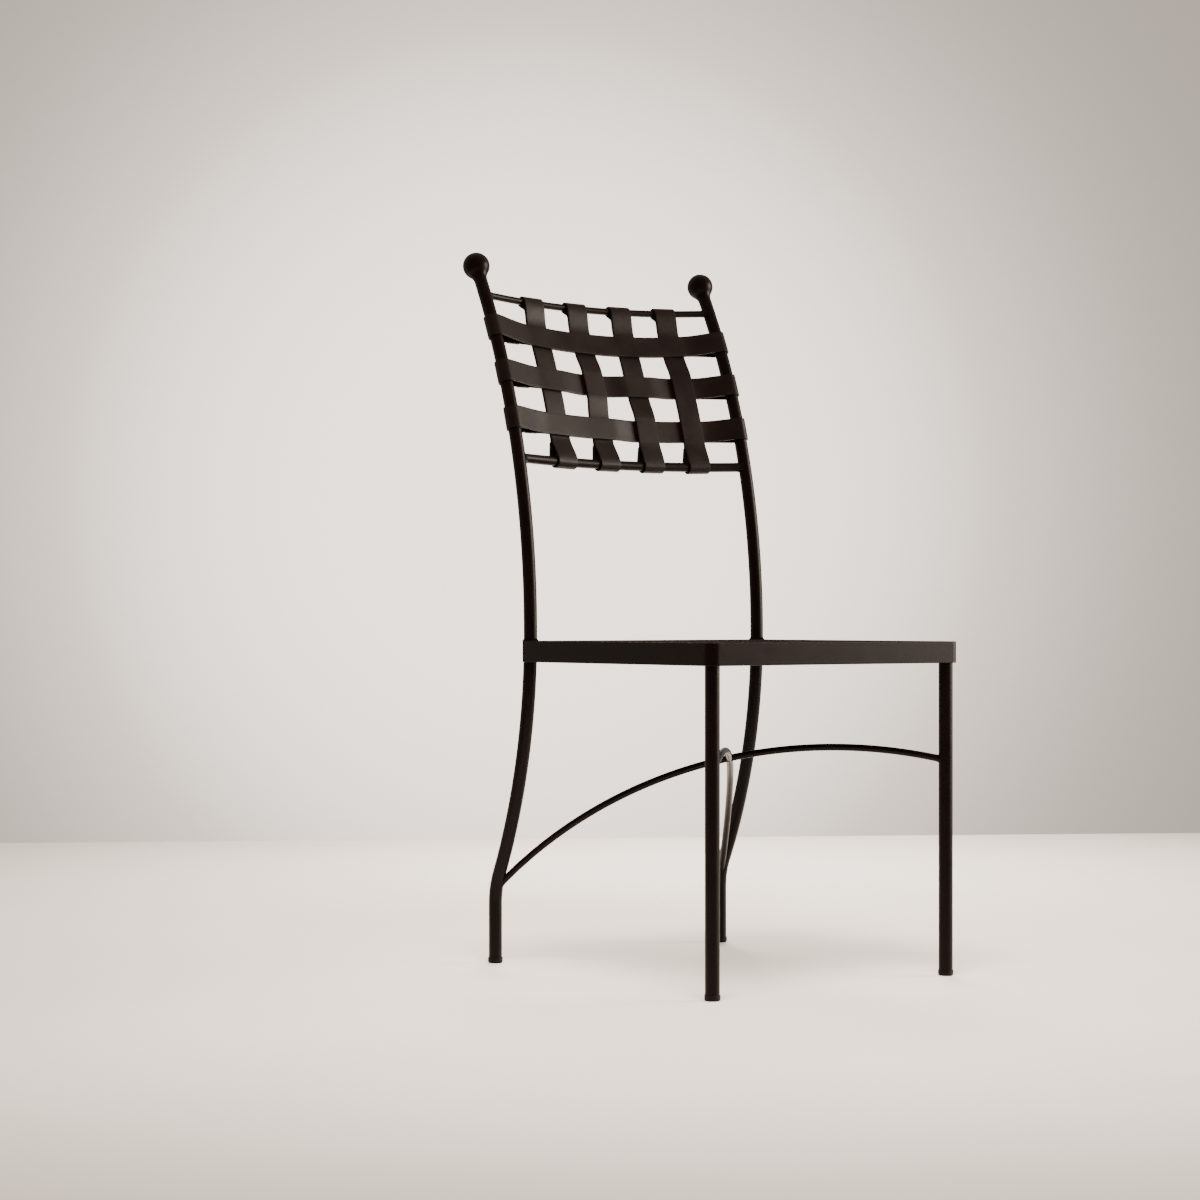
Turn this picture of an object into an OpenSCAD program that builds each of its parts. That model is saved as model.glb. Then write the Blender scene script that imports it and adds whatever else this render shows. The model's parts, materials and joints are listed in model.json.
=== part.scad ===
// Side chair with a rigid welded tube frame, ball finials and a woven strap back.
// X runs across the chair, +Y towards the back and +Z up. The floor is at zero.
// The origin is under the middle of the overall box.

/* [Seat] */
// Height of the seat's top face
seat_h = 450; // [400:5:500]
// Distance between the leg centres, side to side
leg_span = 407; // [360:1:460]
// Distance from the front leg centres back to the posts at the seat
seat_reach = 392; // [350:1:430]
// Height of the flat bar round the seat
band_h = 29; // [22:1:38]
// Thickness of the flat bar round the seat
band_t = 4.2; // [3:0.1:6]
// Thickness of the seat sheet
deck_t = 2.5; // [1.5:0.1:4]

/* [Front legs] */
// Outer diameter of a front leg
leg_d = 19; // [16:0.5:25]
// Wall of the leg and post tubes
tube_wall = 1.5; // [1:0.1:2.5]

/* [Rear posts] */
// Outer diameter of a rear post
post_d = 18.5; // [16:0.5:25]
// Height at which the posts stand upright, between the two curves
waist_h = 460; // [430:1:480]
// Length of the upright stretch between the two curves
waist_run = 6; // [4:1:12]
// How far the rear feet stand behind the posts' waist
rear_splay = 84; // [60:1:100]
// Height of the upright stretch of post at the rear foot
foot_h = 83; // [70:1:95]
// Radius of the short bend above the rear foot
foot_bend_r = 100; // [80:1:130]
// Radius of the long curve above the waist
upper_r = 1074; // [950:1:1250]
// Lean of the post at its top end, in degrees
upper_lean = 27.5; // [27:0.1:28.5]

/* [Finials] */
// Diameter of the ball
ball_d = 38; // [34:1:42]
// Radius of the hollow between the ball and the post
neck_r = 9; // [7:0.5:11]

/* [Feet] */
// Diameter of a foot glide
glide_d = 20.6; // [20:0.1:23]
// Height of a foot glide that shows
glide_h = 8; // [6:0.5:12]

/* [Back rails] */
// Diameter of the top rail
top_rail_d = 10; // [8:0.5:14]
// Diameter of the bottom rail
low_rail_d = 13.5; // [10:0.5:16]
// Lean of the back at the top rail, in degrees
upper_rail_lean = 26.1; // [25.5:0.05:26.3]
// Lean of the back at the bottom rail, in degrees
lower_rail_lean = 12.9; // [12:0.05:14]
// How far the middle of the rails bows away from the sitter
back_bow = 18; // [12:1:24]

/* [Straps] */
// Thickness of the strap
strap_t = 2; // [1.6:0.1:2.4]
// Width of the upright straps
upright_w = 35; // [28:1:38]
// Width of the level straps
level_w = 32; // [26:1:34]
// Clearance between layers that cross
weave_gap = 0.3; // [0.2:0.05:0.5]
// Clearance between a strap and the tube it goes round
wrap_gap = 0.3; // [0.2:0.05:0.5]
// Length of the lap where a strap's ends overlap
lap_len = 20; // [16:1:22]

/* [Rivets] */
// Diameter of a rivet's head
rivet_head_d = 7; // [5:0.5:8]
// Height of a rivet's head
rivet_head_h = 1.6; // [1:0.1:2]
// Diameter of a rivet's shank
rivet_d = 3; // [2:0.1:4]

/* [Stretchers] */
// Diameter of the stretcher rods
rod_d = 9.4; // [8:0.2:12]
// Height at which the rods meet the rear posts
rod_rear_h = 104; // [95:1:125]
// Height at which the rods meet the front legs
rod_front_h = 290; // [270:1:320]
// Rise of a rod above the line between its ends
rod_rise = 87; // [70:1:100]
// Forward lean of the rods' arches, in degrees
rod_lean = 11.5; // [4:0.5:16]

/* [Hidden] */
$fn = 48;

// Fineness of the long arcs
long_arc_fn = 360;
bar_fn = 48;
// Overrun of every cut past the face that it opens
over = 1;
// Degrees of half a turn
half_turn = 180;
// Gap that the weld metal fills at a coped joint
weld_gap = 0.2;
// Gap between the seat sheet and what it lies in
deck_gap = 0.2;
// Gap round a plug in a tube
plug_gap = 0.15;
// How far the neck's hollow bites into the ball
neck_sink = 0.05;
// Steps of a strap's curve between two crossings, and round a tube
run_steps = 7;
wrap_steps = 14;

leg_r = leg_d / 2;
post_r = post_d / 2;
ball_r = ball_d / 2;
half_span = leg_span / 2;
waist_y = seat_reach;
foot_y = waist_y + rear_splay;

// The posts' two long curves end at the ends of the upright stretch
lower_top_h = waist_h - waist_run / 2;
upper_foot_h = waist_h + waist_run / 2;

// The splay fixes the angle at which the foot bend meets the lower curve, whose
// radius is kept to whole steps so that its start stays flush with the stretch above
fit_step = 0.01;
curves_h = lower_top_h - foot_h;
foot_angle = 2 * atan(rear_splay / curves_h);
lower_r = round((curves_h / sin(foot_angle) - foot_bend_r) / fit_step) * fit_step;
seam_h = foot_h + foot_bend_r * sin(foot_angle);
back_centre_y = waist_y + upper_r;

// Seam of the post's tube between the foot bend and the lower curve: the tube's
// ends stop short of the middle and a ring, hardly thicker than the wall, joins them
seam_half = 0.5;
seam_lip = 0.03;
seam_stop = 0.2;

// Centre of the ball, which stands off the post's end by the neck
neck_drop = sqrt(pow(ball_r + neck_r - neck_sink, 2) - pow(post_r + neck_r, 2));
ball_y = back_centre_y - upper_r * cos(upper_lean) + neck_drop * sin(upper_lean);
ball_z = upper_foot_h + upper_r * sin(upper_lean) + neck_drop * cos(upper_lean);

// The seat band is bent round the front legs
band_in_r = leg_r + weld_gap;
band_out_r = band_in_r + band_t;
seat_back_y = waist_y + post_r;

// Front and back of the whole chair, from the front leg centres
box_front_y = -band_out_r;
box_back_y = ball_y + ball_r;
origin_y = (box_front_y + box_back_y) / 2;

// Back rails are arcs between the posts
bow_r = (pow(half_span, 2) + pow(back_bow, 2)) / (2 * back_bow);
weld_flare = 2;
weld_run = 5;
weld_sink_share = 0.3;
weld_dive = 0.4;

// Four upright straps stand at even steps, a little off the middle, and three level
// ones at these shares of the way from the bottom rail to the top rail
upright_count = 4;
upright_pitch_share = 0.195;
upright_pitch = leg_span * upright_pitch_share;
upright_shift = 2.7;
level_shares = [0.768, 0.499, 0.222];
level_count = len(level_shares);
// Which strap shows in front at each crossing: 1 is the level one, -1 the upright one.
// Each row is a level strap from the top, each column an upright strap from the left.
weave_rows = [
    [1, 1, 1, -1],
    [1, -1, 1, -1],
    [1, 1, -1, -1]
];
layer_pitch = strap_t + weave_gap;
flat_margin = 1;
// The lap's middle on its run, and the rivets' places across the strap
lap_share = 0.5;
rivet_place_share = 0.25;
rivet_seat = 0.1;
rivet_tail_h = 1;
rivet_tail_share = 0.8;
back_mid_lean = (upper_rail_lean + lower_rail_lean) / 2;

function level_lean(row) =
    lower_rail_lean + level_shares[row] * (upper_rail_lean - lower_rail_lean);
function upright_x(col) = upright_shift + (col - (upright_count - 1) / 2) * upright_pitch;
function bow_at(x) = sqrt(pow(bow_r, 2) - pow(x, 2)) - bow_r + back_bow;
function bow_turn(x) = -asin(x / bow_r);

// A smooth run from p to q that leaves along d and arrives along e, at share u of it
function run_point(p, d, q, e, u) =
    let(span = norm(q - p), v = 1 - u)
    (1 + 2 * u) * v * v * p + u * v * v * span * d
    + u * u * (3 - 2 * u) * q - u * u * v * span * e;
function run(p, d, q, e) =
    [for (k = [1:run_steps - 1]) run_point(p, d, q, e, k / run_steps)];

// Points of an arc round c from angle a to angle b
function wrap(c, r, a, b) =
    [for (k = [0:wrap_steps])
        let(t = a + (b - a) * k / wrap_steps)
        c + r * [cos(t), sin(t)]];

// Flat stretches joined by smooth runs, each stretch going its own way
function joined(flats, ways) =
    [for (k = [0:len(flats) - 1])
        for (p = k == 0
            ? flats[0]
            : concat(run(flats[k - 1][1], ways[k - 1], flats[k][0], ways[k]), flats[k]))
            p];

// A strap's closed line runs clockwise, so its left side is its outside.
// moved() shifts such a line outwards.
function turned(v) = [-v[1], v[0]] / norm(v);
function moved(line, dist) =
    [for (k = [0:len(line) - 1])
        let(
            p = line[k],
            before = line[(k + len(line) - 1) % len(line)],
            after = line[(k + 1) % len(line)],
            n = turned(p - before),
            m = turned(after - p),
            mid = (n + m) / norm(n + m)
        )
        p + mid * dist / (mid * n)];

// A strap's section: the closed line made as thick as the strap
module strap_section(line) {
    difference() {
        polygon(moved(line, strap_t / 2));
        polygon(moved(line, -strap_t / 2));
    }
}

// The lap is given by the run that carries it: [p, d, q, e]
function lap_middle(r) = run_point(r[0], r[1], r[2], r[3], lap_share);
function lap_out(r) =
    let(step = 1 / run_steps)
    turned(run_point(r[0], r[1], r[2], r[3], lap_share + step)
        - run_point(r[0], r[1], r[2], r[3], lap_share - step));

// A second layer outside the run, where the strap's ends overlap
module lap_section(r) {
    middle = lap_middle(r);
    out = lap_out(r);
    along = [out[1], -out[0]] * lap_len / 2;
    polygon([
        middle - along,
        middle - along + out * strap_t * 3 / 2,
        middle + along + out * strap_t * 3 / 2,
        middle + along
    ]);
}

// Places things on the leaning back: Y is the depth behind the post centres,
// Z runs up along the back
module on_back(lean) {
    translate([0, back_centre_y, upper_foot_h])
        rotate([-lean, 0, 0])
            translate([0, -upper_r, 0])
                children();
}

// Everything is drawn from the front leg centres and moved to the origin
module place() {
    translate([0, -origin_y, 0]) children();
}

// A section bent in the side plane, about the point y, z
module side_arc(y, z, bend_r, start, sweep) {
    translate([0, y, z])
        rotate([90, 0, 90])
            rotate([0, 0, start])
                bent(bend_r, sweep)
                    children();
}

module bent(bend_r, sweep) {
    rotate_extrude(angle = sweep, $fn = long_arc_fn)
        translate([bend_r, 0])
            children();
}

module bar_section(r) {
    circle(r, $fn = bar_fn);
}

module tube_section(r) {
    difference() {
        bar_section(r);
        bar_section(r - tube_wall);
    }
}

// Angle that a length takes up on an arc
function angle_of(length, r) = length / r * half_turn / PI;

// The post's lower curve and foot bend, each stopping short of their seam
module lower_curve(stop) {
    side_arc(waist_y + lower_r, lower_top_h, lower_r, half_turn, foot_angle - angle_of(stop, lower_r))
        children();
}

module foot_bend(stop) {
    side_arc(foot_y - foot_bend_r, foot_h, foot_bend_r, 0, foot_angle - angle_of(stop, foot_bend_r))
        children();
}

module rear_post(side) {
    color([0.11, 0.07, 0.055])
        place()
            translate([side * half_span, 0, 0]) {
                translate([0, foot_y, glide_h])
                    linear_extrude(foot_h - glide_h)
                        tube_section(post_r);
                foot_bend(seam_stop)
                    tube_section(post_r);
                translate([0, foot_y - foot_bend_r * (1 - cos(foot_angle)), seam_h])
                    rotate([foot_angle, 0, 0])
                        translate([0, 0, -seam_half])
                            linear_extrude(2 * seam_half)
                                difference() {
                                    bar_section(post_r + seam_lip);
                                    bar_section(post_r - tube_wall - seam_lip);
                                }
                lower_curve(seam_stop)
                    tube_section(post_r);
                translate([0, waist_y, lower_top_h])
                    linear_extrude(waist_run)
                        tube_section(post_r);
                translate([0, back_centre_y, upper_foot_h])
                    mirror([0, 0, 1])
                        side_arc(0, 0, upper_r, half_turn, upper_lean)
                            tube_section(post_r);
            }
}

// Ball, hollow neck and the plug that goes into the post
module finial(side) {
    plug_r = post_r - tube_wall - plug_gap;
    plug_len = post_d * 3 / 4;
    neck_x = post_r + neck_r;
    neck_top = neck_drop * ball_r / (ball_r + neck_r);
    color([0.11, 0.07, 0.055])
        place()
            translate([side * half_span, ball_y, ball_z])
                rotate([-upper_lean, 0, 0])
                    rotate_extrude()
                        difference() {
                            union() {
                                circle(ball_r);
                                translate([0, -neck_drop])
                                    square([neck_x * ball_r / (ball_r + neck_r), neck_drop - neck_top]);
                                translate([0, -neck_drop - plug_len])
                                    square([plug_r, plug_len]);
                            }
                            translate([neck_x, -neck_drop])
                                circle(neck_r);
                            translate([-ball_d, -ball_d * 2])
                                square([ball_d, ball_d * 4]);
                        }
}

module front_leg(side) {
    leg_top = seat_h - deck_t;
    color([0.11, 0.07, 0.055])
        place()
            translate([side * half_span, 0, glide_h])
                difference() {
                    cylinder(r = leg_r, h = leg_top - glide_h);
                    translate([0, 0, -over])
                        cylinder(r = leg_r - tube_wall, h = leg_top - glide_h - deck_t + over);
                }
}

// Push-in glide: a rounded foot and a plug up the tube
module glide(x, y, tube_r) {
    foot_round = glide_h / 3;
    foot_flat = glide_d / 2 - foot_round;
    plug_len = glide_h * 2;
    color([0.05, 0.05, 0.05])
        place()
            translate([x, y, 0])
                rotate_extrude() {
                    square([foot_flat, glide_h]);
                    translate([0, foot_round])
                        square([glide_d / 2, glide_h - foot_round]);
                    translate([foot_flat, foot_round])
                        circle(foot_round);
                    translate([0, glide_h])
                        square([tube_r - tube_wall - plug_gap, plug_len]);
                }
}

// Plan of the seat with both front corners round about the legs
module seat_plan(r, back_y) {
    translate([-half_span - r, 0])
        square([leg_span + 2 * r, back_y]);
    translate([-half_span, -r])
        square([leg_span, r + band_t]);
    for (side = [-1, 1])
        translate([side * half_span, 0])
            circle(r);
}

// Bar round the front and both sides, which ends beside the middle of each post
module seat_band() {
    color([0.13, 0.1, 0.085])
        place()
            translate([0, 0, seat_h - band_h])
                linear_extrude(band_h)
                    difference() {
                        seat_plan(band_out_r, waist_y);
                        seat_plan(band_in_r, waist_y + over);
                    }
}

module rear_seat_rail() {
    color([0.13, 0.1, 0.085])
        place()
            difference() {
                translate([-half_span, seat_back_y - band_t, seat_h - band_h])
                    cube([leg_span, band_t, band_h]);
                for (side = [-1, 1])
                    translate([side * half_span, 0, 0])
                        lower_curve(0)
                            bar_section(post_r + weld_gap);
            }
}

// Flat sheet with a notch for each post and a weld bead round the post above it
module seat_deck() {
    deck_back_y = seat_back_y - band_t - deck_gap;
    notch_r = post_r + deck_gap;
    color([0.15, 0.12, 0.1])
        place()
            difference() {
                union() {
                    translate([0, 0, seat_h - deck_t])
                        linear_extrude(deck_t)
                            seat_plan(band_in_r - deck_gap, deck_back_y);
                    intersection() {
                        for (side = [-1, 1])
                            translate([side * half_span, waist_y, seat_h])
                                cylinder(r1 = notch_r + weld_flare, r2 = notch_r, h = weld_flare);
                        translate([0, 0, seat_h])
                            linear_extrude(weld_flare)
                                seat_plan(band_out_r, seat_back_y);
                    }
                }
                for (side = [-1, 1]) {
                    translate([side * half_span, waist_y, seat_h - deck_t - over])
                        cylinder(r = notch_r, h = deck_t + weld_flare + 2 * over);
                    translate([
                        side * (half_span + leg_r) - leg_r,
                        waist_y - notch_r / 2,
                        seat_h - deck_t - over
                    ])
                        cube([leg_d, seat_reach, deck_t + over]);
                }
            }
}

// Flared weld at the end of a round bar, drawn from the middle of the tube it meets
module weld_cone(bar_r, tube_r) {
    sink = tube_r * weld_sink_share;
    translate([0, 0, sink])
        cylinder(r1 = bar_r + weld_flare, r2 = bar_r - weld_dive, h = tube_r - sink + weld_run);
}

// A bowed rail between the posts
module back_rail(lean, d) {
    half_sweep = asin(half_span / bow_r);
    color([0.11, 0.07, 0.055])
        place()
            difference() {
                on_back(lean) {
                    translate([0, back_bow - bow_r, 0])
                        rotate([0, 0, 90 - half_sweep])
                            bent(bow_r, 2 * half_sweep)
                                bar_section(d / 2);
                    for (side = [-1, 1])
                        translate([side * half_span, 0, 0])
                            rotate([0, 0, -side * half_sweep])
                                rotate([0, -side * 90, 0])
                                    weld_cone(d / 2, post_r);
                }
                on_back(lean)
                    for (side = [-1, 1])
                        translate([side * half_span, 0, -d])
                            cylinder(r = post_r + weld_gap, h = 2 * d);
            }
}

// Depth of a post at a height below the seat
function post_y(z) =
    z > seam_h
    ? waist_y + lower_r - sqrt(pow(lower_r, 2) - pow(lower_top_h - z, 2))
    : foot_y - foot_bend_r + sqrt(pow(foot_bend_r, 2) - pow(max(z - foot_h, 0), 2));

// Plan length, climb, chord and radius of a rod's arch
rod_rear_y = post_y(rod_rear_h);
rod_plan = norm([leg_span, rod_rear_y]);
rod_climb = rod_front_h - rod_rear_h;
rod_chord = norm([rod_plan, rod_climb]);
rod_arch_r = (pow(rod_chord / 2, 2) + pow(rod_rise, 2)) / (2 * rod_rise);
rod_half_sweep = asin(rod_chord / 2 / rod_arch_r);

// Places a rod's arch, drawn along X from its rear end: arched upwards, then leant
// and turned from a rear post on one side to the front leg on the other
module at_rod(side) {
    translate([side * half_span, rod_rear_y, rod_rear_h])
        rotate([0, 0, atan2(-rod_rear_y, -side * leg_span)])
            rotate([0, -atan2(rod_climb, rod_plan), 0])
                rotate([-side * rod_lean, 0, 0])
                    children();
}

module rod_arch(r) {
    translate([rod_chord / 2, 0, rod_rise - rod_arch_r])
        rotate([90, 0, 0])
            rotate([0, 0, half_turn / 2 - rod_half_sweep])
                bent(rod_arch_r, 2 * rod_half_sweep)
                    bar_section(r);
}

// The stretch of post that a rod meets, run on past the seam by the rod's diameter
module rod_cope() {
    if (rod_rear_h > seam_h)
        lower_curve(-rod_d)
            bar_section(post_r + weld_gap);
    else
        foot_bend(-rod_d)
            bar_section(post_r + weld_gap);
}

// An arched rod. The rod from the left is cut in two by the one that it crosses.
module stretcher(side) {
    color([0.11, 0.07, 0.055])
        place()
            difference() {
                at_rod(side) {
                    rod_arch(rod_d / 2);
                    rotate([0, half_turn / 2 - rod_half_sweep, 0])
                        weld_cone(rod_d / 2, post_r);
                    translate([rod_chord, 0, 0])
                        rotate([0, rod_half_sweep - half_turn / 2, 0])
                            weld_cone(rod_d / 2, leg_r);
                }
                translate([side * half_span, 0, 0])
                    rod_cope();
                translate([-side * half_span, 0, glide_h])
                    cylinder(r = leg_r + weld_gap, h = seat_h);
                if (side > 0)
                    at_rod(-side)
                        rod_arch(rod_d / 2 + weld_gap);
            }
}

// Upright straps are drawn from the side, about the middle of the back, as depth
// and height. Each runs over the top rail, down behind, under the bottom rail and
// up in front.
function side_back(lean) = [cos(lean - back_mid_lean), -sin(lean - back_mid_lean)];
function side_up(lean) = [sin(lean - back_mid_lean), cos(lean - back_mid_lean)];
function side_point(lean, depth) = [upper_r, 0] - (upper_r - depth) * side_back(lean);
function rail_wrap(lean, depth, rail_r, start) =
    wrap(
        side_point(lean, depth),
        rail_r + wrap_gap + strap_t / 2,
        start - (lean - back_mid_lean),
        start - half_turn - (lean - back_mid_lean)
    );
function upright_flat(col, row, layer) =
    let(
        depth = bow_at(upright_x(col)) + (weave_rows[row][col] + layer / 2) * layer_pitch,
        middle = side_point(level_lean(row), depth),
        half = layer * (level_w / 2 + flat_margin) * side_up(level_lean(row))
    )
    [middle + half, middle - half];
function upright_wraps(col) =
    [rail_wrap(upper_rail_lean, bow_at(upright_x(col)), top_rail_d / 2, half_turn),
     rail_wrap(lower_rail_lean, bow_at(upright_x(col)), low_rail_d / 2, 0)];
function upright_line(col) =
    let(
        wraps = upright_wraps(col),
        last = level_count - 1,
        down = [for (row = [0:last]) upright_flat(col, row, 1)],
        up = [for (row = [last:-1:0]) upright_flat(col, row, -1)],
        ways_down = [for (row = [0:last]) -side_up(level_lean(row))],
        ways_up = [for (row = [last:-1:0]) side_up(level_lean(row))]
    )
    concat(
        wraps[0],
        run(wraps[0][wrap_steps], -side_up(upper_rail_lean), down[0][0], ways_down[0]),
        joined(down, ways_down),
        run(down[last][1], ways_down[last], wraps[1][0], -side_up(lower_rail_lean)),
        wraps[1],
        run(wraps[1][wrap_steps], side_up(lower_rail_lean), up[0][0], ways_up[0]),
        joined(up, ways_up),
        run(up[last][1], ways_up[last], wraps[0][0], side_up(upper_rail_lean))
    );
// The lap lies behind, on the run down to the bottom rail
function upright_lap(col) =
    let(row = level_count - 1)
    [upright_flat(col, row, 1)[1], -side_up(level_lean(row)),
     upright_wraps(col)[1][0], -side_up(lower_rail_lean)];

// Places a thing drawn about the middle of the back at an upright strap
module at_upright(col) {
    x = upright_x(col);
    on_back(back_mid_lean)
        translate([x, bow_at(x), 0])
            rotate([0, 0, bow_turn(x)])
                translate([0, -bow_at(x), 0])
                    children();
}

module upright_strap(col) {
    color([0.17, 0.12, 0.1])
        place()
            difference() {
                at_upright(col)
                    rotate([90, 0, 90])
                        translate([0, 0, -upright_w / 2])
                            linear_extrude(upright_w) {
                                strap_section(upright_line(col));
                                lap_section(upright_lap(col));
                            }
                upright_rivet_places(col)
                    rivet_hole();
            }
}

// Level straps are drawn from above, as place across the chair and depth. Each runs
// round the left post, along behind, round the right post and back in front.
function level_way(col) = [cos(bow_turn(upright_x(col))), sin(bow_turn(upright_x(col)))];
function level_flat(row, col, layer) =
    let(
        x = upright_x(col),
        way = level_way(col),
        depth = (-weave_rows[row][col] + layer / 2) * layer_pitch,
        middle = [x, bow_at(x)] + depth * turned(way),
        half = layer * (upright_w / 2 + flat_margin) * way
    )
    [middle - half, middle + half];
// The angle at which a strap leaves a post for the flat stretch that comes next
level_wrap_r = post_r + wrap_gap + strap_t / 2;
function level_leave(side, layer, p) =
    atan2(p[1] - layer * level_wrap_r, abs(p[0] - side * half_span));
function way_at(angle) = [sin(angle), -cos(angle)];
function level_ends(row) =
    let(last = upright_count - 1)
    [level_leave(-1, -1, level_flat(row, 0, -1)[1]) - half_turn / 2,
     level_leave(-1, 1, level_flat(row, 0, 1)[0]) - half_turn * 3 / 2,
     half_turn / 2 - level_leave(1, 1, level_flat(row, last, 1)[1]),
     -half_turn / 2 - level_leave(1, -1, level_flat(row, last, -1)[0])];
function level_line(row) =
    let(
        last = upright_count - 1,
        ends = level_ends(row),
        left = wrap([-half_span, 0], level_wrap_r, ends[0], ends[1]),
        right = wrap([half_span, 0], level_wrap_r, ends[2], ends[3]),
        there = [for (col = [0:last]) level_flat(row, col, 1)],
        back = [for (col = [last:-1:0]) level_flat(row, col, -1)],
        ways_there = [for (col = [0:last]) level_way(col)],
        ways_back = [for (col = [last:-1:0]) -level_way(col)]
    )
    concat(
        left,
        run(left[wrap_steps], way_at(ends[1]), there[0][0], ways_there[0]),
        joined(there, ways_there),
        run(there[last][1], ways_there[last], right[0], way_at(ends[2])),
        right,
        run(right[wrap_steps], way_at(ends[3]), back[0][0], ways_back[0]),
        joined(back, ways_back),
        run(back[last][1], ways_back[last], left[0], way_at(ends[0]))
    );
// The lap lies behind, between the left post and the first upright strap
function level_lap(row) =
    let(end = level_ends(row)[1])
    [[-half_span, 0] + level_wrap_r * [cos(end), sin(end)], way_at(end),
     level_flat(row, 0, 1)[0], level_way(0)];

module level_strap(row) {
    color([0.17, 0.12, 0.1])
        place()
            difference() {
                on_back(level_lean(row))
                    translate([0, 0, -level_w / 2])
                        linear_extrude(level_w) {
                            strap_section(level_line(row));
                            lap_section(level_lap(row));
                        }
                level_rivet_places(row)
                    rivet_hole();
            }
}

// A rivet stands with its axis along Z and the strap's line at zero
module rivet() {
    outside = strap_t * 3 / 2 + rivet_seat;
    inside = strap_t / 2 + rivet_seat;
    head_r = rivet_head_d / 2;
    dome_r = (pow(head_r, 2) + pow(rivet_head_h, 2)) / (2 * rivet_head_h);
    translate([0, 0, -inside])
        cylinder(d = rivet_d, h = outside + inside);
    intersection() {
        translate([0, 0, outside])
            cylinder(r = head_r, h = rivet_head_h);
        translate([0, 0, outside + rivet_head_h - dome_r])
            sphere(dome_r);
    }
    translate([0, 0, -inside - rivet_tail_h])
        cylinder(d = rivet_head_d * rivet_tail_share, h = rivet_tail_h);
}

module rivet_hole() {
    translate([0, 0, -strap_t])
        cylinder(d = rivet_d + 2 * plug_gap, h = strap_t * 3);
}

module upright_rivet_places(col) {
    middle = lap_middle(upright_lap(col));
    out = lap_out(upright_lap(col));
    at_upright(col)
        for (side = [-1, 1])
            translate([side * upright_w * rivet_place_share, middle[0], middle[1]])
                rotate([-atan2(out[0], out[1]), 0, 0])
                    children();
}

module level_rivet_places(row) {
    middle = lap_middle(level_lap(row));
    out = lap_out(level_lap(row));
    on_back(level_lean(row))
        for (side = [-1, 1])
            translate([middle[0], middle[1], side * level_w * rivet_place_share])
                rotate([0, 0, atan2(out[1], out[0])])
                    rotate([0, 90, 0])
                        children();
}

module strap_rivets() {
    color([0.25, 0.22, 0.2])
        place() {
            for (col = [0:upright_count - 1])
                upright_rivet_places(col)
                    rivet();
            for (row = [0:level_count - 1])
                level_rivet_places(row)
                    rivet();
        }
}

rear_post(-1);  // rear_post_left
rear_post(1);  // rear_post_right
finial(-1);  // finial_left
finial(1);  // finial_right
front_leg(-1);  // front_leg_left
front_leg(1);  // front_leg_right
glide(-half_span, 0, leg_r);  // glide_front_left
glide(half_span, 0, leg_r);  // glide_front_right
glide(-half_span, foot_y, post_r);  // glide_rear_left
glide(half_span, foot_y, post_r);  // glide_rear_right
seat_band();
rear_seat_rail();
seat_deck();
back_rail(upper_rail_lean, top_rail_d);  // back_top_rail
back_rail(lower_rail_lean, low_rail_d);  // back_bottom_rail
stretcher(-1);  // stretcher_whole
stretcher(1);  // stretcher_halved
upright_strap(0);  // upright_strap_1
upright_strap(1);  // upright_strap_2
upright_strap(2);  // upright_strap_3
upright_strap(3);  // upright_strap_4
level_strap(0);  // level_strap_1
level_strap(1);  // level_strap_2
level_strap(2);  // level_strap_3
strap_rivets();
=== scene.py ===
"""A welded tube side chair with ball finials and a woven strap back, on a plain pale stage."""
import json
import math
from collections import namedtuple

import bpy
from bpy.props import FloatProperty, FloatVectorProperty, PointerProperty
from mathutils import Matrix, Vector


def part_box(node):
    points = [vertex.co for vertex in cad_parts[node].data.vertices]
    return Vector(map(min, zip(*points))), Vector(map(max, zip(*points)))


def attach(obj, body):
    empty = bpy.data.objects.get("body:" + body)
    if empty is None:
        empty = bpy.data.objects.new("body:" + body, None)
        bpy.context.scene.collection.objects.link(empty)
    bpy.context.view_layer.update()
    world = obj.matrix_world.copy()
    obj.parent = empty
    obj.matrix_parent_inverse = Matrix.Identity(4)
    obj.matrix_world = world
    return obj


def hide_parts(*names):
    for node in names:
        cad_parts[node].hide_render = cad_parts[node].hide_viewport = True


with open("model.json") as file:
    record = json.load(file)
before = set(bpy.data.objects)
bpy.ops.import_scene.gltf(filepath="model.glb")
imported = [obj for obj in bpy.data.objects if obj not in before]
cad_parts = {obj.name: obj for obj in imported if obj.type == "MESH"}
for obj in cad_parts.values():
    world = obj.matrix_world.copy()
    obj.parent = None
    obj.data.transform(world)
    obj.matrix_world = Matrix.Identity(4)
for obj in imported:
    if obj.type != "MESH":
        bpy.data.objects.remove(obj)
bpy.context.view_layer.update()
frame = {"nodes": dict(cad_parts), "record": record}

bl_info = {
    "name": "Side chair with a woven strap back",
    "version": (1, 0, 0),
    "blender": (4, 5, 0),
    "location": "View3D > Sidebar > Chair",
    "description": "Models a welded tube side chair with a woven strap back",
    "category": "Add Mesh",
}

BODY = "root"
HANDS = ("left", "right")


def middle(node):
    """The middle of a CAD node's box."""
    low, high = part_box(node)
    return (low + high) / 2


def extent(node):
    """The three sides of a CAD node's box."""
    low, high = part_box(node)
    return high - low


LEG_MIDDLE = middle("front_leg_right")
LEG_SIZE = extent("front_leg_right")
GLIDE_SIZE = extent("glide_rear_right")
BAND_LOW, BAND_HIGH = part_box("seat_band")
RAIL_LOW, RAIL_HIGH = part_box("rear_seat_rail")

MM = 0.001

# Which strap is in front at each crossing, seen from the front of the chair: 1 the
# level one, -1 the upright one. Rows are level straps from the top, columns upright
# straps from the left.
WEAVE = ((1, 1, 1, 1), (1, -1, 1, -1), (1, 1, -1, -1))
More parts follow.
